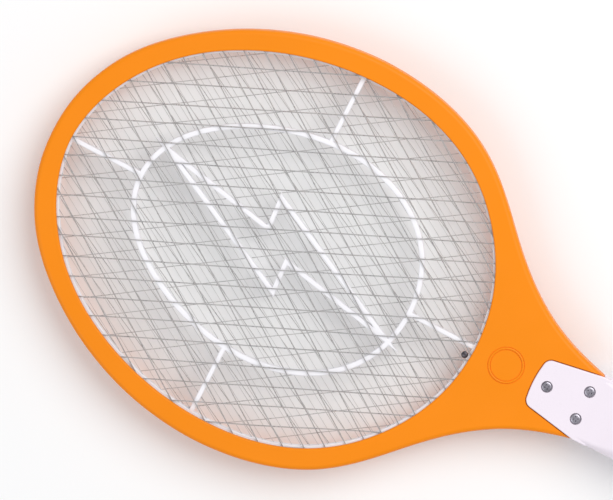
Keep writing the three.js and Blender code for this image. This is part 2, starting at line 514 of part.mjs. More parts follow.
add('negative_contact', union([contactPlate(178.7, 179.3, -CELL_Y - 5.5, -CELL_Y + 5.5), box(175.4, 179, -CELL_Y - 1.3, -CELL_Y + 1.3, 12, 14), springCone(179.1, 186.3, -CELL_Y, 4.6, 3.0)]), 'nickel');
add('bridge_contact', union([contactPlate(237.7, 238.3, -13, 13), springCone(230.7, 237.9, CELL_Y, 3.0, 4.6)]), 'nickel');

// leads: one to each net through the neck, two to the battery contacts
add('front_net_lead', tube([[-9.6, 7, 18.6], [-2, 6.4, 17.8], [12, 5.6, 17.2], [22, 5.4, 17.2], [38, 2.4, 17.2], [50, 4, 17.2], [62, 5.5, 17], [78, 5.5, 16.2]], 0.7, 12, 6), 'blackLead');
add('centre_net_lead', tube([[-9.6, 0, 15], [0, -1.5, 15], [12, -5.2, 15], [22, -5.4, 15], [38, -0.5, 15], [50, 0, 15], [62, 0, 15.6], [78, 0, 16.2]], 0.7, 12, 6), 'redLead');
add('rear_net_lead', tube([[-9.6, -7, 11.4], [-2, -6.8, 12], [12, -6.2, 12.6], [22, -5.8, 12.8], [38, -2.4, 12.8], [50, -4, 12.8], [62, -5.5, 13.4], [72, -5.5, 15.2], [78, -5.5, 16.2]], 0.7, 13, 6), 'blackLead');
add('positive_lead', tube([[175.1, CELL_Y, 13], [172, 6.4, 13.6], [169, 6, 15.4], [165, 6, 16.2]], 0.7, 5, 6), 'redLead');
add('negative_lead', tube([[175.1, -CELL_Y, 13], [172, -6.4, 13.6], [169, -6, 15.4], [165, -6, 16.2]], 0.7, 5, 6), 'blackLead');

// fasteners
TONGUE_SCREWS.forEach(([x, y], i) => add(`tongue_screw_${i + 1}`, screw(x, y, TONGUE_Z[1] - 0.8, 1.0, 2.6, 10.5, 1.2), 'steel'));
HANDLE_SCREWS.forEach(([x, y], i) => add(`handle_screw_${i + 1}`, screw(x, y, 5.7, 1.6, 2.6, 22, 1.2, false), 'steel'));
frameScrewSpots.forEach(([x, y], i) => add(`frame_screw_${i + 1}`, screw(x, y, 9.4, 1.1, 1.8, 19, 0.8, false), 'steel'));

export default model;
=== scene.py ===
import json
import math

import bmesh
import bpy
import numpy as np
from mathutils import Matrix, Vector


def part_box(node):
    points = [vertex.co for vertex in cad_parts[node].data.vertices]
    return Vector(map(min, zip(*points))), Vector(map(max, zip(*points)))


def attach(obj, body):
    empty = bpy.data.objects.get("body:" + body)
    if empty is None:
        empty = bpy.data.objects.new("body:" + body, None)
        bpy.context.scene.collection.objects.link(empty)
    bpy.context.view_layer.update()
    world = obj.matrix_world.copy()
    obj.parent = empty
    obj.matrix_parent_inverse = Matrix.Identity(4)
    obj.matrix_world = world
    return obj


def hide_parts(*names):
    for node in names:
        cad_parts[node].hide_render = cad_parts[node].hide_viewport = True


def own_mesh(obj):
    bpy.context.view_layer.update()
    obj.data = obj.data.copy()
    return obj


# Electric fly swatter. Shapes are worked out in millimetres and scaled to metres
# when they become pieces. Handle at +X, front face up.
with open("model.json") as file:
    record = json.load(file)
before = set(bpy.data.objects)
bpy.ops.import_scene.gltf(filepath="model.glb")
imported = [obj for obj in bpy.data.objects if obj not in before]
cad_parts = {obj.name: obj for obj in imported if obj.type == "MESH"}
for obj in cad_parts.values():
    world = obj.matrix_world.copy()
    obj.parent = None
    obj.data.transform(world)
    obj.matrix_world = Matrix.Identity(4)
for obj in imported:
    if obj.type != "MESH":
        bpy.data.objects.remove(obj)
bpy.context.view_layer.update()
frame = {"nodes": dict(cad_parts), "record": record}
nodes = frame["nodes"]
record = frame["record"]

MID = 15.0
TOP = 22.0
END_X = 250.0
BODY_X = 42.8

# ------------------------------------------------------------------ outlines
OUTER = [
    (-250.0, 0), (-248.7, 16.0), (-244.0, 31.6), (-236.5, 46.1), (-226.4, 58.7), (-214.4, 69.7),
    (-201.3, 79.2), (-187.2, 87.3), (-172.3, 93.8), (-156.9, 98.7), (-141.0, 101.8), (-124.9, 103.3),
    (-108.7, 102.8), (-92.6, 100.5), (-77.1, 96.2), (-62.3, 89.6), (-49.0, 80.3), (-37.1, 69.2),
    (-25.9, 57.4), (-14.4, 46.2), (-1.8, 36.1), (12.1, 27.6), (27.0, 21.5), (42.6, 17.1),
]
INNER = [
    (-240.2, 0), (-237.1, 19.3), (-228.9, 37.6), (-217.0, 53.6), (-202.1, 66.9), (-185.0, 77.2),
    (-166.7, 84.9), (-147.3, 90.0), (-127.5, 92.4), (-107.6, 92.1), (-88.0, 88.6), (-69.4, 81.4),
    (-52.9, 70.3), (-39.1, 55.8), (-28.4, 38.9), (-21.6, 20.1), (-19.0, 0),
]


def area2(p):
    p = np.asarray(p, float)
    return float(np.sum(p[:, 0] * np.roll(p[:, 1], -1) - np.roll(p[:, 0], -1) * p[:, 1]))


def ccw(points):
    p = np.asarray(points, float)
    return p if area2(p) > 0 else p[::-1].copy()


def spaced(points, n):
    """n + 1 points at equal steps along an open line."""
    p = np.asarray(points, float)
    s = np.concatenate([[0], np.cumsum(np.linalg.norm(np.diff(p, axis=0), axis=1))])
    t = np.linspace(0, s[-1], n + 1)
    return np.stack([np.interp(t, s, p[:, k]) for k in range(p.shape[1])], 1)


def catmull(knots, per=40):
    """Centripetal Catmull-Rom through the knots; the first one is on the axis of symmetry."""
    k = np.array([(knots[1][0], -knots[1][1])] + list(knots), float)
    k = np.vstack([k, 2 * k[-1] - k[-2]])
    out = []
    for i in range(1, len(k) - 2):
        p0, p1, p2, p3 = k[i - 1:i + 3]
        d0, d1, d2 = (max(1e-4, np.linalg.norm(b - a) ** 0.5) for a, b in ((p0, p1), (p1, p2), (p2, p3)))
        m1 = ((p1 - p0) / d0 - (p2 - p0) / (d0 + d1) + (p2 - p1) / d1) * d1
        m2 = ((p2 - p1) / d1 - (p3 - p1) / (d1 + d2) + (p3 - p2) / d2) * d1
        for j in range(per):
            t = j / per
            out.append((2 * t ** 3 - 3 * t ** 2 + 1) * p1 + (t ** 3 - 2 * t ** 2 + t) * m1
                       + (-2 * t ** 3 + 3 * t ** 2) * p2 + (t ** 3 - t ** 2) * m2)
    out.append(k[-2])
    return np.array(out)


def smooth_half(knots, n, sigma):
    """The half outline evened out along its length, so that it has no ripple between knots."""
    fine = spaced(catmull(knots), 1400)
    step = np.linalg.norm(fine[1] - fine[0])
    m = int(4 * sigma / step)
    head = fine[1:m + 1][::-1] * (1, -1)
    closed = abs(knots[-1][1]) < 1e-6
    tail = fine[-m - 1:-1][::-1] * (1, -1) if closed else 2 * fine[-1] - fine[-m - 1:-1][::-1]
    long = np.vstack([head, fine, tail])
    kernel = np.exp(-0.5 * (np.arange(-m, m + 1) * step / sigma) ** 2)
    kernel /= kernel.sum()
    got = np.stack([np.convolve(long[:, c], kernel, "valid") for c in (0, 1)], 1)
    got = got + (fine[0] - got[0]) * (1, 0) * np.exp(-np.arange(len(got))[:, None] * step / 30)
    got[0, 1] = 0
    if closed:
        got[-1, 1] = 0
    return spaced(got, n)


def both(half):
    h = [tuple(p) for p in half]
    back = [(x, -y) for x, y in reversed(h[1:]) if y > 1e-6]
    return ccw(h + back)


def grow(points, d):
    """Closed counter-clockwise outline, offset outwards by d."""
    p = np.asarray(points, float)
    a, c = np.roll(p, 1, 0), np.roll(p, -1, 0)
    u = p - a
    u /= np.linalg.norm(u, axis=1)[:, None]
    w = c - p
    w /= np.linalg.norm(w, axis=1)[:, None]
    n1 = np.stack([u[:, 1], -u[:, 0]], 1)
    n2 = np.stack([w[:, 1], -w[:, 0]], 1)
    return p + d * (n1 + n2) / (1 + np.sum(n1 * n2, 1))[:, None]


# ------------------------------------------------------------------- meshes
def mesh_from(verts, faces, fix=True):
    me = bpy.data.meshes.new("part")
    me.from_pydata([tuple(map(float, v)) for v in verts], [], [tuple(int(i) for i in f) for f in faces])
    if fix:
        bm = bmesh.new()
        bm.from_mesh(me)
        bmesh.ops.recalc_face_normals(bm, faces=bm.faces)
        bm.to_mesh(me)
        bm.free()
    me.update()
    return me


def stack(rings, closed_ends=True, loop=False):
    """Solid through a list of rings of equal length. loop joins the last ring to the first."""
    n = len(rings[0])
    verts = np.vstack(rings)
    faces = []
    m = len(rings)
    for s in range(m if loop else m - 1):
        a, b = s * n, ((s + 1) % m) * n
        for i in range(n):
            j = (i + 1) % n
            faces.append((a + i, a + j, b + j, b + i))
    if closed_ends and not loop:
        faces.append(tuple(range(n))[::-1])
        faces.append(tuple(range((m - 1) * n, m * n)))
    return mesh_from(verts, faces)


def at_z(points, z):
    p = np.asarray(points, float)
    return np.column_stack([p, np.full(len(p), float(z))])


def prism(points, z0, z1, low=0.0, high=0.0, steps=5):
    """Upright solid; its lower and upper edges are rounded by `low` and `high`."""
    p = ccw(points)
    rings = []
    if low > 0:
        for k in range(steps + 1):
            a = math.pi / 2 * k / steps
            rings.append(at_z(grow(p, -low * (1 - math.sin(a))), z0 + low * (1 - math.cos(a))))
    else:
        rings.append(at_z(p, z0))
    if high > 0:
        for k in range(steps + 1):
            a = math.pi / 2 * k / steps
            rings.append(at_z(grow(p, -high * (1 - math.cos(a))), z1 - high + high * math.sin(a)))
    else:
        rings.append(at_z(p, z1))
    return stack(rings)


def flared(points, z_face, r, above, steps=5):
    """Cutter that rounds the upper edge of an opening over r, then carries on straight up."""
    p = ccw(points)
    rings = [at_z(p, z_face - r - 0.6), at_z(p, z_face - r)]
    for k in range(1, steps + 1):
        a = math.pi / 2 * k / steps
        rings.append(at_z(grow(p, r * (1 - math.cos(a))), z_face - r + r * math.sin(a)))
    rings.append(at_z(grow(p, r), z_face + above))
    return stack(rings)


def band(points, profile):
    """Closed strip that follows an outline; profile is a closed list of (outward distance, z)."""
    p = ccw(points)
    return stack([at_z(grow(p, g), z) for g, z in profile], loop=True)


def round_rect(half, z0, z1, r, steps=3):
    out = []
    for cx, cz, a0 in ((half - r, z0 + r, -90), (half - r, z1 - r, 0), (-half + r, z1 - r, 90), (-half + r, z0 + r, 180)):
        for k in range(steps + 1):
            a = math.radians(a0 + 90 * k / steps)
            out.append((cx + r * math.cos(a), cz + r * math.sin(a)))
    return out


def box(x0, x1, y0, y1, z0, z1):
    return prism([(x0, y0), (x1, y0), (x1, y1), (x0, y1)], z0, z1)


def circle(x, y, r, n=32):
    return [(x + r * math.cos(2 * math.pi * i / n), y + r * math.sin(2 * math.pi * i / n)) for i in range(n)]


def cyl(x, y, z0, z1, r, n=32, low=0.0, high=0.0):
    return prism(circle(x, y, r, n), z0, z1, low, high)


def lathe(profile, n=32, origin=(0, 0, 0), turn=None):
    """Solid of revolution about Z; profile is (radius, z) and starts and ends on the axis."""
    verts, faces, rows = [], [], []
    for r, z in profile:
        if r < 1e-6:
            rows.append([len(verts)])
            verts.append((0, 0, z))
        else:
            rows.append(list(range(len(verts), len(verts) + n)))
            verts += [(r * math.cos(2 * math.pi * i / n), r * math.sin(2 * math.pi * i / n), z) for i in range(n)]
    for a, b in zip(rows, rows[1:]):
        for i in range(n):
            j = (i + 1) % n
            if len(a) == 1 and len(b) == 1:
                continue
            if len(a) == 1:
                faces.append((a[0], b[j], b[i]))
            elif len(b) == 1:
                faces.append((a[i], a[j], b[0]))
            else:
                faces.append((a[i], a[j], b[j], b[i]))
    me = mesh_from(verts, faces)
    m = Matrix.Translation(origin)
    if turn is not None:
        m = m @ turn
    me.transform(m)
    return me


def tube_arrays(path, r, sides=6, closed=False):
    """Vertices and faces of a round wire along a path, with its frame carried along without twist."""
    p = np.asarray(path, float)
    n = len(p)
    t = np.roll(p, -1, 0) - np.roll(p, 1, 0) if closed else np.gradient(p, axis=0)
    t /= np.linalg.norm(t, axis=1)[:, None]
    ref = np.array([0, 0, 1.0]) if abs(t[0, 2]) < 0.9 else np.array([1.0, 0, 0])
    u = np.cross(t[0], ref)
    u /= np.linalg.norm(u)
    radius = np.broadcast_to(np.asarray(r, float), (n,))
    verts = []
    for i in range(n):
        u = u - t[i] * np.dot(u, t[i])
        u /= np.linalg.norm(u)
        w = np.cross(t[i], u)
        for k in range(sides):
            a = 2 * math.pi * k / sides
            verts.append(p[i] + radius[i] * (u * math.cos(a) + w * math.sin(a)))
    faces = []
    for i in range(n if closed else n - 1):
        a, b = i * sides, ((i + 1) % n) * sides
        for k in range(sides):
            j = (k + 1) % sides
            faces.append((a + k, a + j, b + j, b + k))
    if not closed:
        faces.append(tuple(range(sides))[::-1])
        faces.append(tuple(range((n - 1) * sides, n * sides)))
    return verts, faces


def gather(parts):
    """One mesh from (verts, faces) lists and meshes that are left as separate bodies."""
    verts, faces = [], []
    for part in parts:
        if isinstance(part, bpy.types.Mesh):
            v = [tuple(x.co) for x in part.vertices]
            f = [tuple(q.vertices) for q in part.polygons]
            bpy.data.meshes.remove(part)
        else:
            v, f = part
        base = len(verts)
        verts += [tuple(x) for x in v]
        faces += [tuple(i + base for i in q) for q in f]
    return mesh_from(verts, faces)


def csg(base, *steps):
    """Joins and cuts base with each mesh in turn: ("+", mesh), ("-", mesh) or ("&", mesh)."""
    kinds = {"+": "UNION", "-": "DIFFERENCE", "&": "INTERSECT"}
    a = bpy.data.objects.new("csg_base", base)
    bpy.context.scene.collection.objects.link(a)
    used = []
    for sign, me in steps:
        b = bpy.data.objects.new("csg_tool", me)
        bpy.context.scene.collection.objects.link(b)
        mod = a.modifiers.new("csg", "BOOLEAN")
        mod.operation = kinds[sign]
        mod.solver = "MANIFOLD"
        mod.object = b
        used.append(b)
    dg = bpy.context.evaluated_depsgraph_get()
    dg.update()
    out = bpy.data.meshes.new_from_object(a.evaluated_get(dg))
    for o in [a] + used:
        me = o.data
        bpy.data.objects.remove(o)
        if me.users == 0:
            bpy.data.meshes.remove(me)
    return out


def flip_z(me):
    """Mirror across the parting plane."""
    me = me.copy()
    me.transform(Matrix.Translation((0, 0, 2 * MID)) @ Matrix.Diagonal((1, 1, -1, 1)))
    me.flip_normals()
    return me


# ---------------------------------------------------------------- materials
def link(nt, a, b):
    nt.links.new(a, b)


def base_nodes(name):
    mat = bpy.data.materials.new(name)
    mat.use_nodes = True
    nt = mat.node_tree
    shader = nt.nodes["Principled BSDF"]
    coords = nt.nodes.new("ShaderNodeTexCoord")
    return mat, nt, shader, coords.outputs["Object"]


def noise(nt, vector, scale, detail=2.0, rough=0.5, stretch=None, turn=None):
    if stretch is not None or turn is not None:
        mapping = nt.nodes.new("ShaderNodeMapping")
        if stretch is not None:
            mapping.inputs["Scale"].default_value = stretch
        if turn is not None:
            mapping.inputs["Rotation"].default_value = turn
        link(nt, vector, mapping.inputs["Vector"])
        vector = mapping.outputs["Vector"]
    n = nt.nodes.new("ShaderNodeTexNoise")
    n.inputs["Scale"].default_value = scale
    n.inputs["Detail"].default_value = detail
    n.inputs["Roughness"].default_value = rough
    link(nt, vector, n.inputs["Vector"])
    return n.outputs["Fac"]


def ramp(nt, fac, stops):
    r = nt.nodes.new("ShaderNodeValToRGB")
    e = r.color_ramp.elements
    while len(e) < len(stops):
        e.new(0.5)
    for el, (pos, col) in zip(e, stops):
        el.position = pos
        el.color = (*col, 1) if len(col) == 3 else col
    link(nt, fac, r.inputs["Fac"])
    return r.outputs["Color"]


def spread(nt, fac, lo, hi, out_lo, out_hi):
    m = nt.nodes.new("ShaderNodeMapRange")
    m.inputs["From Min"].default_value = lo
    m.inputs["From Max"].default_value = hi
    m.inputs["To Min"].default_value = out_lo
    m.inputs["To Max"].default_value = out_hi
    link(nt, fac, m.inputs["Value"])
    return m.outputs["Result"]


def blend_colour(nt, fac, a, b):
    m = nt.nodes.new("ShaderNodeMix")
    m.data_type = "RGBA"
    link(nt, fac, m.inputs[0])
    for sock, v in ((m.inputs[6], a), (m.inputs[7], b)):
        if isinstance(v, tuple):
            sock.default_value = (*v, 1)
        else:
            link(nt, v, sock)
    return m.outputs[2]


def bump(nt, shader, height, strength, distance):
    b = nt.nodes.new("ShaderNodeBump")
    b.inputs["Strength"].default_value = strength
    b.inputs["Distance"].default_value = distance
    link(nt, height, b.inputs["Height"])
    link(nt, b.outputs["Normal"], shader.inputs["Normal"])


def shade(c, k):
    return tuple(max(0.0, min(1.0, v * k)) for v in c)


def plastic(name, colour, rough=0.38, var=0.05, grain=2200.0, depth=0.00003, wear=0.35, coat=0.0, spec=0.5):
    """Moulded plastic: slow tone change, spark-eroded grain, fine handling scratches."""
    mat, nt, shader, obj = base_nodes(name)
    slow = noise(nt, obj, 14, 3, 0.55)
    tone = ramp(nt, slow, [(0.3, shade(colour, 1 - var)), (0.7, shade(colour, 1 + var))])
    speck = spread(nt, noise(nt, obj, 900, 1, 0.5), 0.62, 0.8, 0, 0.25 * wear)
    tone = blend_colour(nt, speck, tone, shade(colour, 0.8))
    scratch = spread(nt, noise(nt, obj, 90, 2, 0.6, stretch=(1, 26, 8), turn=(0.2, 0.1, 0.9)), 0.66, 0.74, 0, 1)
    scratch_b = spread(nt, noise(nt, obj, 70, 2, 0.6, stretch=(24, 1, 8), turn=(0.1, 0.3, -0.5)), 0.68, 0.76, 0, 1)
    add = nt.nodes.new("ShaderNodeMath")
    add.operation = "MAXIMUM"
    link(nt, scratch, add.inputs[0])
    link(nt, scratch_b, add.inputs[1])
    pale = tuple(min(1.0, v * 0.86 + 0.1) for v in colour)
    faint = nt.nodes.new("ShaderNodeMath")
    faint.operation = "MULTIPLY"
    faint.inputs[1].default_value = 0.12 * wear
    link(nt, add.outputs[0], faint.inputs[0])
    tone = blend_colour(nt, faint.outputs[0], tone, pale)
    link(nt, tone, shader.inputs["Base Color"])
    r1 = spread(nt, noise(nt, obj, 60, 3, 0.6), 0.3, 0.7, rough - 0.05, rough + 0.06)
    r2 = nt.nodes.new("ShaderNodeMath")
    r2.operation = "MULTIPLY_ADD"
    r2.inputs[1].default_value = 0.12 * wear
    link(nt, add.outputs[0], r2.inputs[0])
    link(nt, r1, r2.inputs[2])
    link(nt, r2.outputs[0], shader.inputs["Roughness"])
    bump(nt, shader, noise(nt, obj, grain, 2, 0.6), 0.25, depth)
    shader.inputs["Specular IOR Level"].default_value = spec
    if coat:
        shader.inputs["Coat Weight"].default_value = coat
        shader.inputs["Coat Roughness"].default_value = 0.12
    return mat


def metal(name, colour, rough=0.3, dull=0.5, grain=600.0, stretch=(1, 1, 1), depth=0.00002, metallic=1.0):
    """Plated or drawn metal: draw marks, patches of dull oxide."""
    mat, nt, shader, obj = base_nodes(name)
    patch = noise(nt, obj, 120, 4, 0.6)
    tone = ramp(nt, patch, [(0.35, shade(colour, 1.08)), (0.55, colour), (0.75, shade(colour, 1 - 0.5 * dull))])
    link(nt, tone, shader.inputs["Base Color"])
    link(nt, spread(nt, noise(nt, obj, grain, 3, 0.6, stretch=stretch), 0.3, 0.75, rough - 0.08, rough + 0.16), shader.inputs["Roughness"])
    shader.inputs["Metallic"].default_value = metallic
    bump(nt, shader, noise(nt, obj, grain * 1.5, 2, 0.6, stretch=stretch), 0.3, depth)
    return mat


def sleeve(name):
    """Printed shrink sleeve of a dry cell: dark body, pale band and a thin line near the positive end."""
    mat, nt, shader, obj = base_nodes(name)
    sep = nt.nodes.new("ShaderNodeSeparateXYZ")
    gen = nt.nodes.new("ShaderNodeTexCoord")
    link(nt, gen.outputs["Generated"], sep.inputs[0])
    bands = nt.nodes.new("ShaderNodeValToRGB")
    bands.color_ramp.interpolation = "CONSTANT"
    e = bands.color_ramp.elements
    for _ in range(3):
        e.new(0.5)
    for el, (p, c) in zip(e, [(0, (0.03, 0.11, 0.26)), (0.30, (0.70, 0.71, 0.73)), (0.33, (0.03, 0.11, 0.26)), (0.72, (0.70, 0.71, 0.73)), (0.74, (0.03, 0.11, 0.26))]):
        el.position = p
        el.color = (*c, 1)
    link(nt, sep.outputs[0], bands.inputs["Fac"])
    dust = spread(nt, noise(nt, obj, 160, 3, 0.6), 0.45, 0.75, 0, 0.2)
    link(nt, blend_colour(nt, dust, bands.outputs["Color"], (0.28, 0.3, 0.34)), shader.inputs["Base Color"])
    link(nt, spread(nt, noise(nt, obj, 90, 3, 0.6), 0.3, 0.7, 0.2, 0.34), shader.inputs["Roughness"])
    bump(nt, shader, noise(nt, obj, 700, 2, 0.5), 0.15, 0.00003)
    shader.inputs["Coat Weight"].default_value = 0.4
    shader.inputs["Coat Roughness"].default_value = 0.1
    return mat


ORANGE = (0.93, 0.262, 0.004)
WHITE = (0.89, 0.81, 0.89)
M = {
    "orange": plastic("orange_moulded", ORANGE, rough=0.40, var=0.03, wear=0.35, spec=0.18),
    "white": plastic("white_moulded", WHITE, rough=0.36, var=0.015, wear=0.5),
    "lattice": plastic("white_lattice", (0.93, 0.915, 0.95), rough=0.42, var=0.015, grain=3000, wear=0.2),
    "wire": metal("net_wire", (0.57, 0.56, 0.555), rough=0.30, dull=0.6, grain=900),
    "fine_wire": metal("centre_wire", (0.66, 0.655, 0.65), rough=0.36, dull=0.6, grain=900),
    "screw": metal("plated_screw", (0.40, 0.38, 0.43), rough=0.30, dull=0.6, grain=1200),
    "dark_screw": metal("dark_rivet", (0.10, 0.09, 0.10), rough=0.38, dull=0.6, grain=900),
    "nickel": metal("nickel_spring", (0.66, 0.63, 0.58), rough=0.24, dull=0.4, grain=1500),
    "tin": metal("cell_cap", (0.68, 0.66, 0.62), rough=0.24, dull=0.4, grain=1500),
    "black": plastic("black_moulded", (0.022, 0.022, 0.024), rough=0.5, var=0.2, wear=0.8),
    "board": plastic("board_laminate", (0.36, 0.22, 0.08), rough=0.55, var=0.12, grain=1500, wear=0.9),
    "ferrite": plastic("ferrite_core", (0.045, 0.045, 0.05), rough=0.62, var=0.25, grain=3500, depth=0.00006, wear=0.8),
    "tape": plastic("winding_tape", (0.66, 0.44, 0.05), rough=0.3, var=0.1, grain=1800, wear=0.6, coat=0.3),
    "resin": plastic("dipped_resin", (0.25, 0.05, 0.025), rough=0.24, var=0.12, grain=500, depth=0.00008, wear=0.5, coat=0.4),
    "resistor": plastic("resistor_lacquer", (0.55, 0.38, 0.2), rough=0.42, var=0.12, wear=0.7),
    "led": plastic("led_epoxy", (0.62, 0.012, 0.012), rough=0.14, var=0.08, grain=400, depth=0.00001, wear=0.3, coat=0.6),
    "red_lead": plastic("lead_red", (0.45, 0.022, 0.02), rough=0.45, var=0.08, wear=0.5),
    "black_lead": plastic("lead_black", (0.02, 0.02, 0.021), rough=0.45, var=0.2, wear=0.5),
    "sleeve": sleeve("cell_sleeve"),
}


# -------------------------------------------------------------------- pieces
def piece(name, me, mats, body, replaces, sharp=32, weighted=True):
    me.name = name
    ob = bpy.data.objects.new(name, me)
    bpy.context.scene.collection.objects.link(ob)
    me.transform(Matrix.Scale(0.001, 4))
    keep = [p.material_index for p in me.polygons]
    me.materials.clear()
    for m in (mats if isinstance(mats, (list, tuple)) else [mats]):
        me.materials.append(m)
    if len(me.materials) > 1:
        for p, k in zip(me.polygons, keep):
            p.material_index = k
    me.shade_smooth()
    me.set_sharp_from_angle(angle=math.radians(sharp))
    if weighted:
        w = ob.modifiers.new("weighted", "WEIGHTED_NORMAL")
        w.keep_sharp = True
        w.weight = 70
    me.update()
    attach(ob, body)
    if replaces:
        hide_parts(*([replaces] if isinstance(replaces, str) else replaces))
    return ob


def dress(name, mat, bevel=0.0):
    """Material and softened edges for a CAD node that stays."""
    ob = nodes[name]
    if not ob.material_slots:
        ob.data.materials.append(mat)
    for s in ob.material_slots:
        s.material = mat
    if bevel:
        b = ob.modifiers.new("bevel", "BEVEL")
        b.width = bevel * 0.001
        b.segments = 2
        b.limit_method = "ANGLE"
        b.angle_limit = math.radians(40)
        b.harden_normals = False


# ------------------------------------------------------------ frame outlines
outer_half = smooth_half(OUTER, 150, 5.0)
outer_half[-1] = (BODY_X - 0.3, 17.1)
head_line = both(outer_half)
frame_line = both(list(map(tuple, outer_half)) + [(BODY_X - 0.3, 14.6), (61, 14.6)])
inner_line = both(smooth_half(INNER, 120, 5.0))
for pts in (head_line, inner_line):
    pts[:, 1] = np.clip(pts[:, 1], -104.99, 104.99)


def tongue_line(extra=0.0, back=58.0):
    half = lambda x: 12.1 + (x - 12.85) * 5.0 / (BODY_X - 12.85)
    pts = [(12.85 - extra + 0.0096 * y * y, y) for y in np.linspace(0, 7.8, 9)]
    cx, cy, r = 17.85, 8.4, 4.3 + extra
    for deg in np.linspace(172, 98, 15):
        pts.append((cx + r * math.cos(math.radians(deg)), cy + r * math.sin(math.radians(deg))))
    x0, y0 = pts[-1]
    for k in range(1, 9):
        x = x0 + (BODY_X - x0) * k / 8
        pts.append((x, y0 + (half(BODY_X) + extra - y0) * k / 8))
    pts.append((back, 17.0 + extra))
    return both(pts)


TONGUE_SCREWS = [(19.9, 0), (39.5, 7.4), (39.5, -7.4)]
HANDLE_SCREWS = [(67.5, 10), (67.5, -10), (171, 11.5), (171, -11.5)]
FRAME_SCREWS = []
for k in range(1, 7):
    lo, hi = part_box(f"frame_screw_{k}")
    FRAME_SCREWS.append(((lo.x + hi.x) * 500, (lo.y + hi.y) * 500))


def frame_half(front):
    low = MID + 0.15
    body = prism(head_line, MID - 7, TOP, 2.4, 2.4, 7)
    hollow = prism(grow(frame_line, -2.0), MID - 1, TOP - 1.8)
    lip = csg(prism(grow(inner_line, 1.5), 19.4, TOP), ("-", prism(inner_line, 10, 30)))
    plate = prism([(10.35, -40), (70, -40), (70, 40), (10.35, 40)], 18.8, TOP)
    hollow = csg(hollow, ("-", lip), ("-", plate))
    steps = [
        ("+", box(BODY_X - 4, 61, -14.6, 14.6, MID - 5.5, 20.5)),
        ("-", prism(inner_line, -5, 35)),
        ("-", flared(inner_line, TOP, 0.85, 2.0)),
        ("-", hollow),
        ("-", prism(tongue_line(0.5, 75), 20.5, TOP + 2)),
    ]
    steps.append(("+", gather([cyl(x, y, low, TOP - 1.4, 2.1, 20) for x, y in FRAME_SCREWS])))
    if front:
        steps.append(("-", gather([cyl(x, y, low - 1, TOP - 2.4, 1.15, 16) for x, y in FRAME_SCREWS])))
    else:
        steps.append(("-", gather([cyl(x, y, low - 1, TOP + 1, 1.15, 16) for x, y in FRAME_SCREWS])))
        steps.append(("-", gather([cyl(x, y, TOP - 1.7, TOP + 1, 2.2, 28) for x, y in FRAME_SCREWS])))
    r = 1.7 if front else 3.4
    steps.append(("-", gather([cyl(x, y, 17.5, 21.5, r, 28) for x, y in TONGUE_SCREWS])))
    steps.append(("-", box(58, 62, -10.5, 10.5, MID - 1, 18.8)))
    steps.append(("-", box(-260, 80, -120, 120, MID - 20, low)))
    if front:
        ring = []
        for k in range(7):
            a = math.pi * k / 6
            ring.append((0.45 * math.cos(a), TOP - 0.02 + 0.3 * math.sin(a)))
        ring += [(-0.45, TOP - 0.6), (0.45, TOP - 0.6)]
        moat = [(-0.75, TOP - 0.3), (0.75, TOP - 0.3), (0.95, TOP + 0.5), (-0.95, TOP + 0.5)]
        steps.append(("-", band(circle(-2.4, 0, 8.3, 96), moat)))
        steps.append(("+", band(circle(-2.4, 0, 8.3, 96), ring)))
    return csg(body, *steps)


piece("front_frame_shell", frame_half(True), M["orange"], "racket", "front_frame")
piece("rear_frame_shell", flip_z(frame_half(False)), M["orange"], "racket", "rear_frame")

# --------------------------------------------------------------------- nets
net_line = grow(inner_line, 3.3)


def jitter(i, k):
    v = math.sin(i * 12.9898 + k * 78.233) * 43758.5453
    return 2 * (v - math.floor(v)) - 1


def clip(line, p, d):
    """Distances along p + s d where it crosses the outline."""
    a, b = line, np.roll(line, -1, 0)
    e = b - a
    den = d[0] * e[:, 1] - d[1] * e[:, 0]
    ok = np.abs(den) > 1e-9
    w = a - p
    s = np.where(ok, (w[:, 0] * e[:, 1] - w[:, 1] * e[:, 0]) / np.where(ok, den, 1), np.nan)
    t = np.where(ok, (w[:, 0] * d[1] - w[:, 1] * d[0]) / np.where(ok, den, 1), np.nan)
    hit = s[(t >= 0) & (t < 1)]
    return (hit.min(), hit.max()) if len(hit) > 1 else None


ORIGIN = np.array([-127.7, 0.0])


def family(deg, pitch, phase):
    a = math.radians(deg)
    d = np.array([math.cos(a), math.sin(a)])
    return {"d": d, "n": np.array([-d[1], d[0]]), "pitch": pitch, "phase": phase}


def wires(own, other, z_mid, r, weave, sign, seed, step=1.9, wander=0.35, sides=6):
    out = []
    rows = int(130 / own["pitch"]) + 1
    for i in range(-rows, rows + 1):
        q = own["phase"] + i * own["pitch"] + wander * jitter(i, seed)
        lean = 0.0035 * jitter(i, seed + 1) * min(1.0, wander / 0.35)
        d = own["d"] + lean * own["n"]
        p = ORIGIN + q * own["n"]
        span = clip(net_line, p, d)
        if span is None or span[1] - span[0] < 8:
            continue
        s = np.linspace(span[0], span[1], max(3, int((span[1] - span[0]) / step) + 1))
        xy = p + s[:, None] * d
        bow = 0.35 * jitter(i, seed + 2) * np.sin((s - span[0]) / (span[1] - span[0]) * math.pi * 2 + 3 * jitter(i, seed + 3))
        xy = xy + (bow * min(1.0, wander / 0.35))[:, None] * own["n"]
        z = np.full(len(s), z_mid)
        if other is not None and weave:
            t = ((xy - ORIGIN) @ other["n"] - other["phase"]) / other["pitch"]
            z = z_mid + sign * weave * np.cos(math.pi * t) * (-1) ** (i % 2)
        out.append(tube_arrays(np.column_stack([xy, z]), r, sides))
    return out


def hoop(z, r):
    return tube_arrays(at_z(net_line[::2], z), r, 6, closed=True)


def solder_tab(y, z):
    return prism([(-17.5, y - 2), (-10, y - 2), (-10, y + 2), (-17.5, y + 2)], z - 0.4, z + 0.4, 0.15, 0.15, 2)


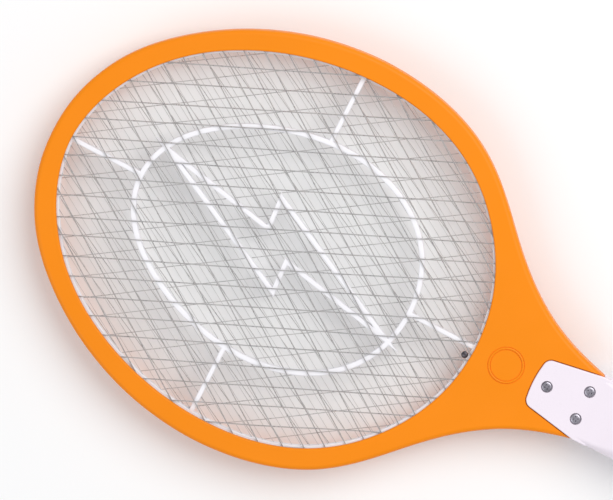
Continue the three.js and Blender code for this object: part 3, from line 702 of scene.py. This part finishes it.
B = family(-34.65, 9.271, 2.35)
D = family(23.85, 9.615, -1.80)
A = family(-27.41, 9.688, 3.66)
C = family(33.89, 9.877, 4.50)
E = family(-30.94, 3.683, -0.92)
FRONT_Z, REAR_Z = 18.70, 2 * MID - 18.70
front = wires(B, D, FRONT_Z, 0.28, 0.27, 1, 1) + wires(D, B, FRONT_Z, 0.28, 0.27, -1, 7)
rear = wires(A, C, REAR_Z, 0.19, 0.19, 1, 13) + wires(C, A, REAR_Z, 0.19, 0.19, -1, 19)
centre = wires(E, None, MID, 0.14, 0, 1, 23, step=9.0, wander=0.22)
piece("front_net_wires", gather(front + [hoop(FRONT_Z, 0.32), solder_tab(7, FRONT_Z)]), M["wire"], "racket", "front_net", weighted=False, sharp=50)
piece("rear_net_wires", gather(rear + [hoop(REAR_Z, 0.32), solder_tab(-7, REAR_Z)]), M["wire"], "racket", "rear_net", weighted=False, sharp=50)
piece("centre_net_wires", gather(centre + [hoop(MID, 0.25), prism([(-17.5, -2), (-10, -2), (-10, 2), (-17.5, 2)], 14.8, 15.2)]), M["fine_wire"], "racket", "centre_net", weighted=False, sharp=50)

# dark rivet that ties the front net to its lead
piece("front_net_rivet", lathe([(0, 19.40), (1.62, 19.40), (1.70, 19.55), (1.62, 19.95), (1.30, 20.25), (0.8, 20.38), (0.55, 20.30), (0, 20.22)], 28, (-22.5, -4.9, 0)),
      M["dark_screw"], "racket", "front_net_terminal")

# ------------------------------------------------------------------ lattice
RING_X, RING_A, RING_B, RING_EGG = -126.5, 73.2, 56.1, 0.032
BOLT = [(-68.3, 16.7), (8.7, -21.4), (7.6, -5.1), (68.3, -16.7), (-8.7, 21.4), (-7.6, 5.1)]


def bar(p, q, width, z0, z1, r):
    p, q = np.array(p, float), np.array(q, float)
    u = (q - p) / np.linalg.norm(q - p)
    n = np.array([-u[1], u[0]]) * width / 2
    return prism([p - n, q - n, q + n, p + n], z0, z1, r, r, 3)


def lattice(z0, z1):
    ring = []
    for a in np.linspace(0, 2 * math.pi, 121)[:-1]:
        k = 1 - RING_EGG * math.cos(3 * a)
        ring.append((RING_X + k * RING_A * math.cos(a), k * RING_B * math.sin(a)))
    rim_profile = [(-0.7, z0), (4.15, z0), (4.15, z1), (-0.7, z1), (-1.0, z1 - 0.3), (-1.0, z0 + 0.3)]
    bolt = [(x - 127.7, y) for x, y in BOLT]
    s = band(inner_line, rim_profile)
    steps = [("+", band(ring, round_rect(1.35, z0, z1, 0.6))),
             ("+", band(bolt, round_rect(1.2, z0, z1, 0.55)))]
    for p, q in (((RING_X - RING_A * (1 + RING_EGG), 0), (-242, 0)), ((RING_X + RING_A * (1 - RING_EGG), 0), (-17, 0)),
                 ((-127.7, RING_B), (-127.7, 96)), ((-127.7, -RING_B), (-127.7, -96))):
        steps.append(("+", bar(p, q, 2.4, z0, z1, 0.55)))
    return csg(s, *steps)


piece("front_lattice", lattice(15.5, 18.0), M["lattice"], "racket", "front_spacer")
piece("rear_lattice", lattice(12.0, 14.5), M["lattice"], "racket", "rear_spacer")

# ------------------------------------------------------------------- handle
STATIONS = np.array([
    [BODY_X, 17.1, 7.8, 2.6], [52, 16.9, 9.2, 3.6], [62, 16.7, 12.3, 6.4], [70, 16.7, 14.2, 8.6],
    [78, 16.9, 15, 10], [120, 17.6, 15, 10], [170, 18.5, 15, 10], [241.5, 18.5, 15, 10],
    [246, 17.3, 14.4, 9.8], [249, 14.9, 12.8, 8.8], [END_X, 12.4, 11, 7.6]])


def monotone(t, y, x):
    """Monotone cubic through (t, y): smooth, and never past the stated sizes."""
    h = np.diff(t)
    d = np.diff(y) / h
    m = np.zeros(len(t))
    for i in range(1, len(t) - 1):
        if d[i - 1] * d[i] > 0:
            w1, w2 = 2 * h[i] + h[i - 1], h[i] + 2 * h[i - 1]
            m[i] = (w1 + w2) / (w1 / d[i - 1] + w2 / d[i])
    m[0], m[-1] = d[0], d[-1]
    k = np.clip(np.searchsorted(t, x, "right") - 1, 0, len(t) - 2)
    s = (x - t[k]) / h[k]
    return ((2 * s ** 3 - 3 * s ** 2 + 1) * y[k] + (s ** 3 - 2 * s ** 2 + s) * h[k] * m[k]
            + (-2 * s ** 3 + 3 * s ** 2) * y[k + 1] + (s ** 3 - s ** 2) * h[k] * m[k + 1])


def stations(table):
    gap = np.diff(table[:, :3], axis=0)
    t = np.concatenate([[0], np.cumsum(np.linalg.norm(gap, axis=1))])
    want = []
    for i in range(len(t) - 1):
        length = t[i + 1] - t[i]
        n = max(2, int(length / (1.6 if table[i, 0] < 78 else 0.8 if table[i, 0] > 240 else 12)))
        want += list(t[i] + length * np.arange(n) / n)
    want.append(t[-1])
    want = np.array(want)
    return np.column_stack([monotone(t, table[:, c], want) for c in range(4)])


def section(w, h, r, n=9):
    out = []
    for cy, cz, a0 in ((w - r, h - r, 0), (-w + r, h - r, 90), (-w + r, -h + r, 180), (w - r, -h + r, 270)):
        for k in range(n + 1):
            a = math.radians(a0 + 90 * k / n)
            out.append((cy + r * math.cos(a), cz + r * math.sin(a)))
    return out


def loft(table):
    rings = []
    for x, w, h, r in table:
        rings.append(np.array([(x, y, MID + z) for y, z in section(w, h, r)]))
    return stack(rings)


outer_rows = stations(STATIONS)
inner_table = np.array([[x, w - 2, h - 2, max(1.0, r - 2)] for x, w, h, r in STATIONS if x < 245])
inner_table[0, 0] = BODY_X - 2
inner_table = np.vstack([inner_table, [245.4, 15.4, 12.5, 7.9], [END_X - 2, 12.4, 10.6, 6.4]])
inner_rows = stations(inner_table)


def shell_half():
    tongue = prism(tongue_line(0, 54), 20.9, 22.8, 0.4, 0.55, 4)
    tongue = csg(tongue, ("-", box(49.5, 70, -30, 30, 0, 40)))
    cavity = csg(loft(inner_rows), ("+", box(BODY_X - 2, 60, -14.6, 14.6, MID - 5, MID + 5.2)))
    return csg(loft(outer_rows), ("-", cavity), ("+", tongue), ("-", box(0, 260, -40, 40, -5, MID + 0.15)))


def stadium(cx, cy, length, width, n=14):
    r, a = width / 2, length / 2 - width / 2
    pts = [(cx + a + r * math.cos(t), cy + r * math.sin(t)) for t in np.linspace(-math.pi / 2, math.pi / 2, n)]
    return pts + [(cx - a + r * math.cos(t), cy + r * math.sin(t)) for t in np.linspace(math.pi / 2, 3 * math.pi / 2, n)]


BUTTON_X, LED_X = 104.0, 87.5


def front_shell():
    steps = [
        ("-", gather([cyl(x, y, 15, 30, 1.6, 24) for x, y in TONGUE_SCREWS])),
        ("-", gather([cyl(x, y, 21.7, 24, 2.9, 36) for x, y in TONGUE_SCREWS])),
        ("-", prism(stadium(BUTTON_X, 0, 17, 11.6), 20, 35)),
        ("-", flared(stadium(BUTTON_X, 0, 17, 11.6), 30, 0.5, 2)),
        ("-", cyl(LED_X, 0, 20, 35, 2.8, 36)),
        ("-", flared(circle(LED_X, 0, 2.8, 36), 30, 0.4, 2)),
        ("+", gather([cyl(x, y, MID + 0.3, MID + (12.0 if x < 100 else 12.4), 2.9, 24) for x, y in HANDLE_SCREWS])),
        ("-", gather([cyl(x, y, MID, MID + 9, 1.5, 16) for x, y in HANDLE_SCREWS])),
    ]
    return csg(shell_half(), *steps)


def cut_to(me, *boxes):
    zone = boxes[0]
    for b in boxes[1:]:
        zone = csg(zone, ("+", b))
    return zone


def rear_shell_and_cover():
    whole = flip_z(shell_half())
    cover_zone = csg(box(178.3, 260, -40, 40, -5, 8.0), ("+", box(241.2, 260, -40, 40, -5, 30)))
    cut_zone = csg(box(178.0, 260, -40, 40, -5, 8.3), ("+", box(240.9, 260, -40, 40, -5, 30)))
    cover = csg(whole.copy(), ("&", cover_zone))
    steps = []
    for side in (1, -1):
        y0, y1 = (15.2, 15.9) if side > 0 else (-15.9, -15.2)
        steps.append(("+", box(182.3, 243.2, y0, y1, 5.0, 10.5)))
    # grip grooves with rounded bottoms, and a plain arrow that shows which way it slides
    for i in range(5):
        g = lathe([(0, -7.4), (0.8, -7.0), (0.8, 7.0), (0, 7.4)], 16, (188.8 + i * 4, 0, -0.1), Matrix.Rotation(math.pi / 2, 4, "X"))
        steps.append(("-", g))
    steps.append(("-", prism([(214, -3.2), (220, 0), (214, 3.2), (215.6, 0)], -1, 0.4)))
    cover = csg(cover, *steps)

    roof = [
        box(176.4, 178.0, -16.1, 16.1, 1.6, 19.8), box(238.7, 240.2, -14.9, 14.9, 8.3, 12), box(238.7, 240.2, -16.1, 16.1, 11.0, 19.8),
        box(176.4, 240.2, -16.1, 16.1, 18.3, 19.8), box(176.4, 240.2, 15.1, 16.1, 11.0, 19.8), box(176.4, 240.2, -16.1, -15.1, 11.0, 19.8),
        box(178.0, 240.2, 15.1, 17.0, 11.0, 14.85), box(178.0, 240.2, -17.0, -15.1, 11.0, 14.85)]
    steps = [("-", cut_zone)]
    # walls of the battery bay stay inside the handle's own section
    inside = csg(loft(outer_rows), ("-", box(0, 176, -40, 40, -5, 40)))
    steps += [("+", csg(b, ("&", inside.copy()))) for b in roof]
    steps.append(("-", gather([box(176, 178.4, y - 1.7, y + 1.7, 11.6, 14.4) for y in (7.5, -7.5)])))
    steps.append(("+", gather([cyl(x, y, 3.4 if x < 100 else 1.2, MID - 0.3, 3.7, 24) for x, y in HANDLE_SCREWS])))
    steps.append(("-", gather([cyl(x, y, -2, 6.0, 2.95, 32) for x, y in HANDLE_SCREWS])))
    steps.append(("-", gather([cyl(x, y, 5, 16, 1.5, 20) for x, y in HANDLE_SCREWS])))
    steps.append(("+", gather([cyl(x, y, 8.0, 17.4, 3.0, 24) for x, y in TONGUE_SCREWS])))
    steps.append(("-", gather([cyl(x, y, 9.4, 18, 1.5, 20) for x, y in TONGUE_SCREWS])))
    steps.append(("+", gather([box(x, x + 1.6, -12, 12, 1.0, 13.1) for x in (82, 122, 158)])))
    return csg(whole, *steps), cover


rear_me, cover_me = rear_shell_and_cover()
piece("handle_front_half", front_shell(), M["white"], "racket", "handle_front_shell")
piece("handle_rear_half", rear_me, M["white"], "racket", "handle_rear_shell")
piece("battery_lid", cover_me, M["white"], "cover", "battery_cover")

# button: crowned cap with a finger dish, flange, stem
dish = lathe([(0, 31.0)] + [(16 * math.sin(a), 47.0 - 16 * math.cos(a)) for a in np.linspace(0.06, 0.36, 9)] + [(5.64, 34), (0, 34)], 48, (BUTTON_X, 0, 0))
button = csg(prism(stadium(BUTTON_X, 0, 16, 10.6, 18), 26.4, 31.5, 0, 1.1, 6),
             ("-", dish),
             ("+", prism(stadium(BUTTON_X, 0, 20, 14.6, 16), 26.2, 27.6, 0.2, 0.2, 2)),
             ("+", cyl(BUTTON_X, 0, 22.2, 26.6, 2.0, 24)))
piece("trigger_button", button, M["orange"], "button", "push_button")

# lamp with a domed lens
dome = [(0, 24.4), (2.9, 24.4), (2.9, 25.4), (2.5, 25.4), (2.5, 28.5)]
dome += [(2.5 * math.cos(a), 28.5 + 2.5 * math.sin(a)) for a in np.linspace(0.12, math.pi / 2 - 0.12, 8)] + [(0, 31.0)]
piece("status_lamp", lathe(dome, 36, (LED_X, 0, 0)), M["led"], "racket", "indicator_led")


# ------------------------------------------------------------------ screws
def cross_screw(head_r, head_h, shank_r, length, recess=True):
    """Pan-head screw, head underside at z = 0, head up, thread down."""
    prof = [(0, -length), (shank_r * 0.5, -length + 0.3)]
    n = int((length - 1.6) / 0.9)
    for k in range(n):
        z = -length + 0.9 + 0.9 * k
        prof += [(shank_r * 0.82, z), (shank_r, z + 0.3), (shank_r * 0.82, z + 0.6)]
    prof += [(shank_r, -0.4), (shank_r, 0), (head_r, 0), (head_r, head_h * 0.35)]
    for a in np.linspace(0.25, math.pi / 2 - 0.1, 6):
        prof.append((head_r * (0.62 + 0.38 * math.cos(a)), head_h * (0.35 + 0.65 * math.sin(a))))
    prof.append((0, head_h))
    me = lathe(prof, 32)
    if not recess:
        return me
    a = head_r * 0.62
    w = head_r * 0.16
    arms = []
    for turn in (0.35, 0.35 + math.pi / 2):
        c, s = math.cos(turn), math.sin(turn)
        low = [(x * c - y * s, x * s + y * c) for x, y in ((-a * 0.55, -w * 0.8), (a * 0.55, -w * 0.8), (a * 0.55, w * 0.8), (-a * 0.55, w * 0.8))]
        high = [(x * c - y * s, x * s + y * c) for x, y in ((-a, -w), (a, -w), (a, w), (-a, w))]
        arms.append(stack([at_z(low, head_h * 0.25), at_z(high, head_h + 0.5)]))
    return csg(me, ("-", arms[0]), ("-", arms[1]))


def set_screw(name, node, master, x, y, z, up, turn, mat="screw"):
    me = master.copy()
    m = Matrix.Translation((x, y, z)) @ Matrix.Rotation(turn, 4, "Z")
    if not up:
        m = m @ Matrix.Rotation(math.pi, 4, "X")
    me.transform(m)
    piece(name, me, M[mat], "racket", node, sharp=38)


tongue_master = cross_screw(2.6, 1.0, 1.2, 11.5)
handle_master = cross_screw(2.6, 1.6, 1.2, 16.3)
frame_master = cross_screw(1.8, 1.1, 0.8, 9.6)
for k, (x, y) in enumerate(TONGUE_SCREWS):
    set_screw(f"cross_screw_tongue_{k + 1}", f"tongue_screw_{k + 1}", tongue_master, x, y, 22.0, True, 0.3 + 0.7 * k)
for k, (x, y) in enumerate(HANDLE_SCREWS):
    set_screw(f"cross_screw_handle_{k + 1}", f"handle_screw_{k + 1}", handle_master, x, y, 5.7, False, 0.5 * k)
for k, (x, y) in enumerate(FRAME_SCREWS):
    set_screw(f"cross_screw_frame_{k + 1}", f"frame_screw_{k + 1}", frame_master, x, y, 9.4, False, 0.4 * k)


# ---------------------------------------------------- cells, springs, contacts
def cell(name, node, start, y, turn):
    prof = [(0, 0), (2.2, 0), (2.6, 0.15), (2.75, 0.4), (2.75, 1.2), (4.6, 1.2), (6.2, 1.25), (6.5, 1.2), (6.95, 1.35), (7.25, 1.8),
            (7.25, 2.4), (7.25, 25), (7.25, 49.3), (7.1, 49.9), (6.6, 50.3), (6.2, 50.3), (6.0, 50.1), (5.0, 50.1), (4.6, 50.5), (0, 50.5)]
    me = lathe(prof, 40, (start, y, 10.5), Matrix.Rotation(turn, 4, "Y"))
    for p in me.polygons:
        c = sum((me.vertices[i].co for i in p.vertices), Vector()) / len(p.vertices)
        rad = math.hypot(c.y - y, c.z - 10.5)
        p.material_index = 1 if rad < 6.55 else 0
    piece(name, me, [M["sleeve"], M["tin"]], "racket", node)


cell("dry_cell_1", "aa_cell_1", 179.8, 7.5, math.pi / 2)
cell("dry_cell_2", "aa_cell_2", 237.2, -7.5, -math.pi / 2)


def coil(centre, axis, length, r0, r1, turns, wire, flat=0.75, per=20):
    """Helical spring with closed end turns."""
    n = int(turns * per)
    pts = []
    for i in range(n + 1):
        f = i / n
        t = f * turns
        if t < flat:
            s = 0.5 * t * wire * 2 / flat
        elif t > turns - flat:
            s = length - 0.5 * (turns - t) * wire * 2 / flat
        else:
            s = wire + (length - 2 * wire) * (t - flat) / (turns - 2 * flat)
        s = min(max(s, wire), length - wire)
        r = r0 + (r1 - r0) * f - wire
        a = 2 * math.pi * t
        p = (r * math.cos(a), r * math.sin(a), s)
        pts.append((centre[0] + p[0], centre[1] + p[1], centre[2] + p[2]) if axis == "z" else (centre[0] + axis * p[2], centre[1] + p[0], centre[2] + p[1]))
    return tube_arrays(pts, wire, 8)


spring_me = gather([coil((BUTTON_X, 0, 19.5), "z", 6.4, 3.9, 3.9, 6.5, 0.4)])
spring = piece("return_spring", spring_me, M["nickel"], "racket", "button_spring", weighted=False, sharp=60)
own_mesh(spring)


def contact(y0, y1, x0, x1):
    return prism([(y0, 5.5), (y1, 5.5), (y1, 16), (y0, 16)], x0, x1, 0.12, 0.12, 2)


def upright(me):
    """Turns a plate drawn in plan so that it stands across the handle."""
    me.transform(Matrix(((0, 0, 1, 0), (1, 0, 0, 0), (0, 1, 0, 0), (0, 0, 0, 1))))
    return me


piece("positive_terminal", gather([csg(upright(contact(2.0, 13.0, 178.7, 179.3)), ("+", box(175.4, 179, 6.2, 8.8, 12, 14)))]),
      M["nickel"], "racket", "positive_contact")
piece("negative_terminal", gather([csg(upright(contact(-13.0, -2.0, 178.7, 179.3)), ("+", box(175.4, 179, -8.8, -6.2, 12, 14))),
                                   coil((179.25, -7.5, 10.5), 1, 7.05, 4.6, 3.0, 4.5, 0.38)]),
      M["nickel"], "racket", "negative_contact", sharp=60)
piece("bridge_terminal", gather([upright(contact(-13.0, 13.0, 237.7, 238.3)), coil((237.75, 7.5, 10.5), -1, 7.05, 4.6, 3.0, 4.5, 0.38)]),
      M["nickel"], "racket", "bridge_contact", sharp=60)

# --------------------------------------------------- CAD nodes that stay as made
for name, mat, width in (
        ("switch_plunger", "black", 0.25), ("switch_body", "black", 0.35), ("led_spacer", "white", 0.2),
        ("circuit_board", "board", 0.15), ("transformer_core", "ferrite", 0.3), ("transformer_coil", "tape", 0.2),
        ("hv_capacitor", "resin", 0.3), ("diode_1", "black", 0.12), ("diode_2", "black", 0.12), ("diode_3", "black", 0.12),
        ("charge_resistor", "resistor", 0.12), ("bleed_resistor", "resistor", 0.12), ("switching_transistor", "black", 0.15),
        ("front_net_lead", "black_lead", 0), ("centre_net_lead", "red_lead", 0), ("rear_net_lead", "black_lead", 0),
        ("positive_lead", "red_lead", 0), ("negative_lead", "black_lead", 0)):
    dress(name, M[mat], width)

# -------------------------------------------------------------------- stage
floor_me = bpy.data.meshes.new("floor")
bm = bmesh.new()
bmesh.ops.create_grid(bm, x_segments=8, y_segments=8, size=4.0)
bm.to_mesh(floor_me)
bm.free()
floor = bpy.data.objects.new("floor", floor_me)
floor.location = (0, 0, -0.0003)
bpy.context.scene.collection.objects.link(floor)
mat, nt, shader, obj = base_nodes("pale_floor")
link(nt, ramp(nt, noise(nt, obj, 3, 2), [(0.3, (0.945, 0.945, 0.945)), (0.7, (0.96, 0.96, 0.96))]), shader.inputs["Base Color"])
link(nt, spread(nt, noise(nt, obj, 40, 2), 0.3, 0.7, 0.75, 0.85), shader.inputs["Roughness"])
shader.inputs["Specular IOR Level"].default_value = 0.2
floor_me.materials.append(mat)

world = bpy.data.worlds.new("studio")
world.use_nodes = True
world.node_tree.nodes["Background"].inputs["Color"].default_value = (0.97, 0.98, 1.0, 1)
world.node_tree.nodes["Background"].inputs["Strength"].default_value = 0.53
bpy.context.scene.world = world

target = Vector((-0.1140, 0.00500, 0.022))


def lamp(name, direction, distance, size, power, colour=(1, 1, 1)):
    data = bpy.data.lights.new(name, "AREA")
    data.shape = "DISK"
    data.size = size
    data.energy = power
    data.color = colour
    ob = bpy.data.objects.new(name, data)
    d = Vector(direction).normalized()
    ob.location = target + d * distance
    ob.rotation_mode = "QUATERNION"
    ob.rotation_quaternion = d.to_track_quat("Z", "Y")
    bpy.context.scene.collection.objects.link(ob)


lamp("key", (0.35, 0.85, 1.25), 1.7, 1.5, 18.0, (1, 0.99, 0.975))
lamp("fill", (-0.6, -0.9, 1.2), 1.9, 1.4, 7.0, (0.96, 0.98, 1.0))

# camera: leans six degrees to +Y from straight above, rolled so the handle points down to the right
tilt, roll, dist = math.radians(6.0), math.radians(27.5), 2.8
back = Vector((0, math.sin(tilt), math.cos(tilt)))
across = Vector((0, math.cos(tilt), -math.sin(tilt)))
right = Vector((1, 0, 0)) * math.cos(roll) + across * math.sin(roll)
up = -Vector((1, 0, 0)) * math.sin(roll) + across * math.cos(roll)
cam_data = bpy.data.cameras.new("camera")
cam = bpy.data.objects.new("camera", cam_data)
cam.matrix_world = Matrix((
    (right.x, up.x, back.x, 0), (right.y, up.y, back.y, 0), (right.z, up.z, back.z, 0), (0, 0, 0, 1)))
cam.location = target + back * dist
cam_data.sensor_width = 36
cam_data.lens = 36 * dist / (613 * 0.4845e-3)
cam_data.clip_start, cam_data.clip_end = 0.05, 50
bpy.context.scene.collection.objects.link(cam)
bpy.context.scene.camera = cam
bpy.context.scene.view_settings.view_transform = "Standard"
